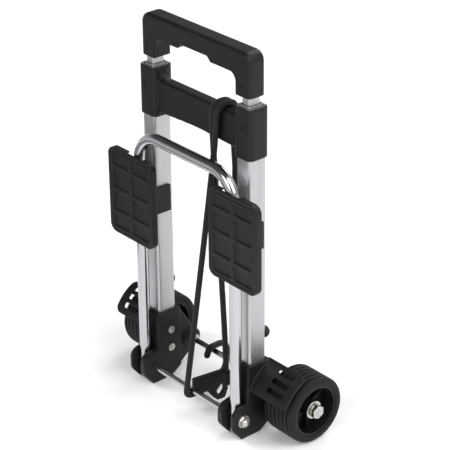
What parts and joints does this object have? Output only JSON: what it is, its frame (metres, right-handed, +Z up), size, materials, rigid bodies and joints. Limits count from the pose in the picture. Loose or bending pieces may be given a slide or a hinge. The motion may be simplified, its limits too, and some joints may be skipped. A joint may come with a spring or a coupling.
{
  "type": "folding luggage cart",
  "caption": "Compact folding luggage cart, stowed upright: telescoping handle, fold-down hoop platform with flip-out pads, guarded wheels and an elastic hook cord.",
  "frame": {"origin": "bottom centre of the stowed cart's bounding box, on the ground", "axes": "+Z up the tubes, +X along the axle to the cart's right, -Y to the platform side that faces forward"},
  "size_m": [0.271, 0.1, 0.405],
  "materials": {
    "black_plastic": "satin moulded, fine grain",
    "satin_aluminium": "satin anodised, drawn",
    "polished_steel": "bright plated",
    "zinc_steel": "zinc plated",
    "black_steel": "blackened",
    "tyre_rubber": "matt, ribbed tread",
    "wheel_plastic": "satin moulded",
    "pad_plastic": "satin, fine grain",
    "guide_plastic": "smooth moulded",
    "elastic": "braided sheath",
    "hook_plastic": "smooth moulded",
    "bumper_rubber": "matt"
  },
  "bodies": {
    "root": {"outer_tube_left": "satin_aluminium", "outer_tube_right": "satin_aluminium", "outer_tube_bush_left": "guide_plastic", "outer_tube_bush_right": "guide_plastic", "cross_bracket": "black_plastic", "collar_screws": "black_steel", "base_bracket_left": "black_plastic", "base_bracket_right": "black_plastic", "bracket_screws": "zinc_steel", "rear_bumpers": "bumper_rubber", "pivot_rod": "polished_steel", "pivot_nuts": "zinc_steel", "storage_clip_left": "black_plastic", "storage_clip_right": "black_plastic", "axle": "polished_steel", "axle_nuts": "zinc_steel", "axle_washers": "zinc_steel", "axle_spacers": "zinc_steel", "elastic_cord": "elastic", "cord_hook_rear": "hook_plastic", "cord_hook_front": "hook_plastic"},
    "middle_stage": {"middle_tube_left": "satin_aluminium", "middle_tube_right": "satin_aluminium", "middle_tube_bush_left": "guide_plastic", "middle_tube_bush_right": "guide_plastic", "middle_tube_foot_left": "guide_plastic", "middle_tube_foot_right": "guide_plastic"},
    "handle_stage": {"inner_tube_left": "satin_aluminium", "inner_tube_right": "satin_aluminium", "inner_tube_foot_left": "guide_plastic", "inner_tube_foot_right": "guide_plastic", "handle_grip": "black_plastic", "grip_screws": "black_steel"},
    "platform": {"platform_hoop": "polished_steel", "hoop_end_plugs": "black_plastic"},
    "left_pad": {"pad_left": "pad_plastic"},
    "right_pad": {"pad_right": "pad_plastic"},
    "left_wheel": {"tyre_left": "tyre_rubber", "wheel_hub_left": "wheel_plastic"},
    "right_wheel": {"tyre_right": "tyre_rubber", "wheel_hub_right": "wheel_plastic"}
  },
  "joints": [
    {"name": "middle_slide", "type": "slide", "parent": "root", "child": "middle_stage", "axis": [0, 0, 1], "range_m": [0, 0.265]},
    {"name": "handle_slide", "type": "slide", "parent": "middle_stage", "child": "handle_stage", "axis": [0, 0, 1], "range_m": [0, 0.265]},
    {"name": "platform_fold", "type": "hinge", "parent": "root", "child": "platform", "pos_m": [0, -0.037, 0.021], "axis": [1, 0, 0], "range_deg": [0, 90]},
    {"name": "left_pad_flip", "type": "hinge", "parent": "platform", "child": "left_pad", "pos_m": [-0.0716, -0.037, 0.212], "axis": [0, 0, 1], "range_deg": [-180, 0]},
    {"name": "right_pad_flip", "type": "hinge", "parent": "platform", "child": "right_pad", "pos_m": [0.0716, -0.037, 0.223], "axis": [0, 0, 1], "range_deg": [0, 180]},
    {"name": "left_wheel_spin", "type": "hinge", "parent": "root", "child": "left_wheel", "pos_m": [-0.112, 0.015, 0.035], "axis": [1, 0, 0], "continuous": true},
    {"name": "right_wheel_spin", "type": "hinge", "parent": "root", "child": "right_wheel", "pos_m": [0.112, 0.015, 0.035], "axis": [1, 0, 0], "continuous": true}
  ],
  "couplings": [
    {"joint": "left_pad_flip", "follows": "platform_fold", "ratio": -2},
    {"joint": "right_pad_flip", "follows": "platform_fold", "ratio": 2}
  ]
}
